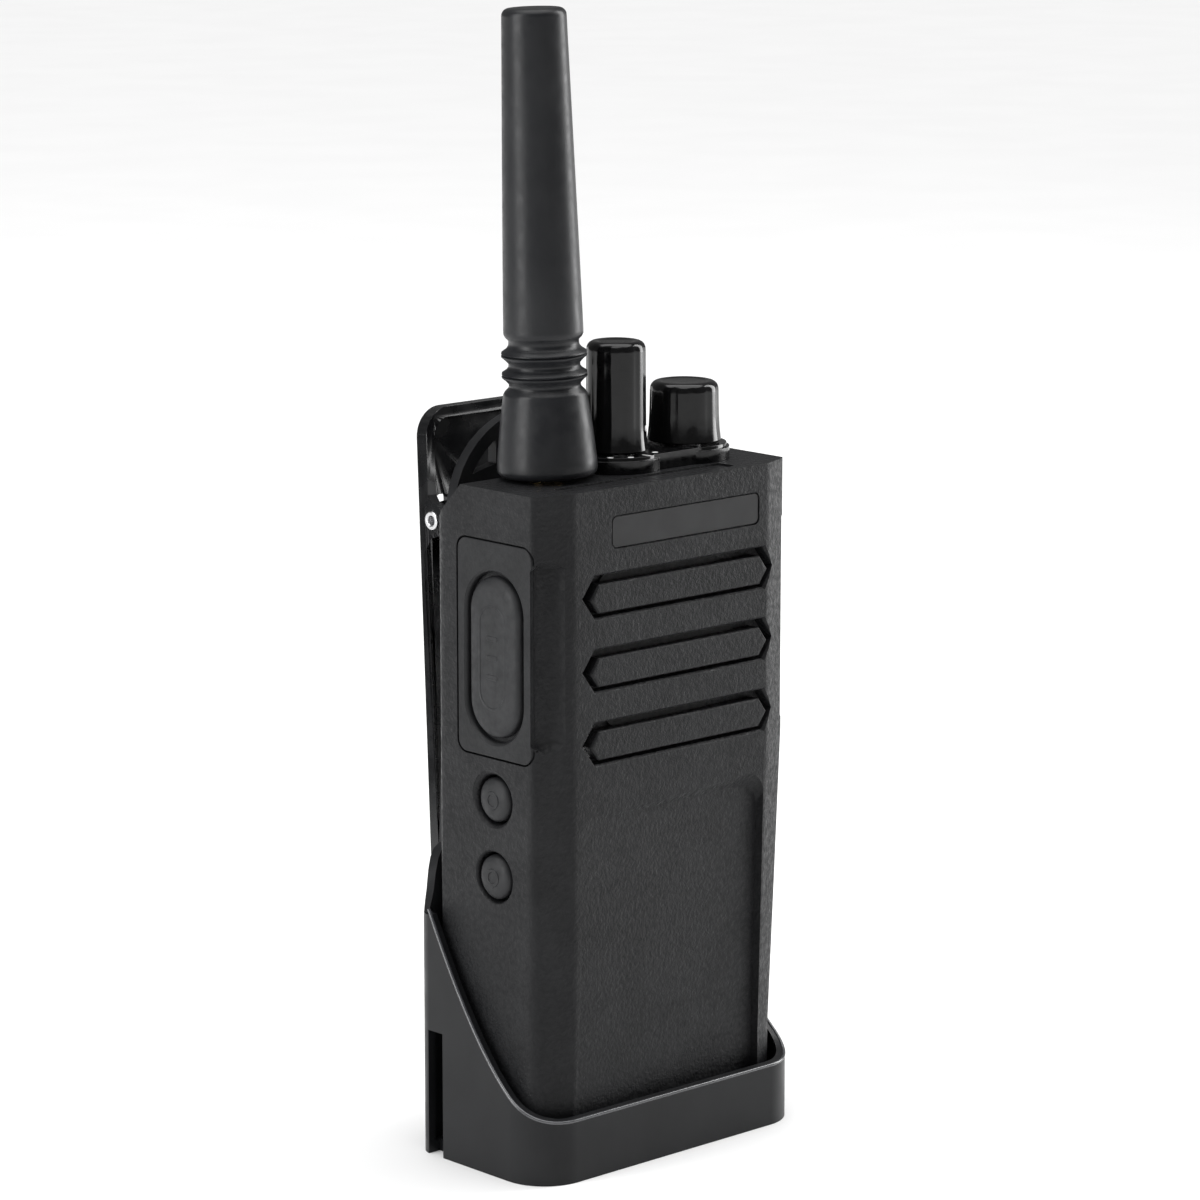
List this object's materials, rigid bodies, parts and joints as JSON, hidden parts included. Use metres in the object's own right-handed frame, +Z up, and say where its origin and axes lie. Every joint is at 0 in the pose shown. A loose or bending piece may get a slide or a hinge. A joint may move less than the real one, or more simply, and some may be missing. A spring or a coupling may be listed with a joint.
{
  "type": "two-way radio",
  "caption": "Handheld two-way radio with a stub antenna, knobs, side keys and slotted speaker front, held in an open-topped swivel belt holster with a spring clip.",
  "frame": {"origin": "middle of the holster's footprint, on the surface it stands on", "axes": "+X to the right seen from the front, +Y from the front to the back, +Z up along the antenna"},
  "size_m": [0.0608, 0.0433, 0.1906],
  "materials": {
    "body_shell": "fine moulded grain, semi-matt",
    "control_rubber": "soft matt rubber",
    "antenna_rubber": "satin moulded rubber",
    "gloss_black": "polished",
    "holster_plastic": "smooth satin",
    "clip_plastic": "semi-gloss",
    "plate_grey": "satin blank plate",
    "seal_rubber": "soft",
    "battery_wrap": "shrink film",
    "foam": "soft foam",
    "cloth": "fine woven mesh",
    "paper_cone": "pressed paper",
    "cast_frame": "as cast",
    "board": "solder mask",
    "chip": "moulded epoxy",
    "shield_metal": "tin plated",
    "steel": "bright",
    "brass": "plated",
    "copper": "enamelled wire",
    "former": "moulded"
  },
  "bodies": {
    "holster": {"holster": "holster_plastic"},
    "radio": {"front_housing": "body_shell", "name_plate": "plate_grey", "housing_gasket": "seal_rubber", "rear_housing": "body_shell", "battery_door": "body_shell", "battery_pack": "battery_wrap", "battery_pad": "foam", "battery_contacts": "brass", "charge_contacts": "brass", "chassis": "cast_frame", "main_board": "board", "board_chips": "chip", "rf_shield": "shield_metal", "housing_screws": "steel", "speaker_cloth": "cloth", "speaker_frame": "chip", "speaker_cone": "paper_cone", "speaker_magnet": "steel", "microphone": "steel", "ptt_panel": "body_shell", "switch_board": "board", "switch_domes": "steel", "jack_block": "chip", "top_plate": "gloss_black", "knob_seals": "seal_rubber", "channel_switch": "chip", "volume_control": "chip", "antenna_sheath": "antenna_rubber", "antenna_coil": "copper", "antenna_core": "former", "antenna_stud": "brass", "antenna_nut": "steel"},
    "channel_dial": {"channel_knob": "gloss_black", "channel_shaft": "steel"},
    "volume_dial": {"volume_knob": "gloss_black", "volume_shaft": "steel"},
    "ptt": {"ptt_key": "control_rubber"},
    "button_upper": {"upper_button": "control_rubber"},
    "button_lower": {"lower_button": "control_rubber"},
    "jack_cover": {"jack_flap": "control_rubber"},
    "door_latch": {"battery_latch": "clip_plastic"},
    "clip_swivel": {"clip_base": "clip_plastic", "swivel_hub": "steel", "clip_pin": "steel", "clip_spring": "steel"},
    "clip_arm": {"clip_lever": "clip_plastic"}
  },
  "joints": [
    {"name": "radio_lift", "type": "slide", "parent": "holster", "child": "radio", "axis": [0, 0, 1], "range_m": [0, 0.13]},
    {"name": "channel_turn", "type": "hinge", "parent": "radio", "child": "channel_dial", "pos_m": [0.0008, 0, 0.117], "axis": [0, 0, -1], "range_deg": [-90, 120]},
    {"name": "volume_turn", "type": "hinge", "parent": "radio", "child": "volume_dial", "pos_m": [0.0164, 0, 0.117], "axis": [0, 0, -1], "range_deg": [-150, 120]},
    {"name": "ptt_press", "type": "slide", "parent": "radio", "child": "ptt", "axis": [1, 0, 0], "range_m": [0, 0.0008], "stiffness_N_per_m": 1500, "springref_m": -0.0008},
    {"name": "button_upper_press", "type": "slide", "parent": "radio", "child": "button_upper", "axis": [1, 0, 0], "range_m": [0, 0.0006], "stiffness_N_per_m": 1200, "springref_m": -0.0006},
    {"name": "button_lower_press", "type": "slide", "parent": "radio", "child": "button_lower", "axis": [1, 0, 0], "range_m": [0, 0.0006], "stiffness_N_per_m": 1200, "springref_m": -0.0006},
    {"name": "jack_cover_hinge", "type": "hinge", "parent": "radio", "child": "jack_cover", "pos_m": [0.02765, 0.0061, 0.088], "axis": [0, 0, 1], "range_deg": [0, 110]},
    {"name": "door_latch_slide", "type": "slide", "parent": "radio", "child": "door_latch", "axis": [0, 0, -1], "range_m": [0, 0.002]},
    {"name": "clip_turn", "type": "hinge", "parent": "holster", "child": "clip_swivel", "pos_m": [0, 0.0158, 0.072], "axis": [0, 1, 0], "continuous": true},
    {"name": "clip_squeeze", "type": "hinge", "parent": "clip_swivel", "child": "clip_arm", "pos_m": [0, 0.0236, 0.1047], "axis": [1, 0, 0], "range_deg": [0, 15], "stiffness_Nm_per_rad": 0.4, "springref_deg": -17.19}
  ]
}
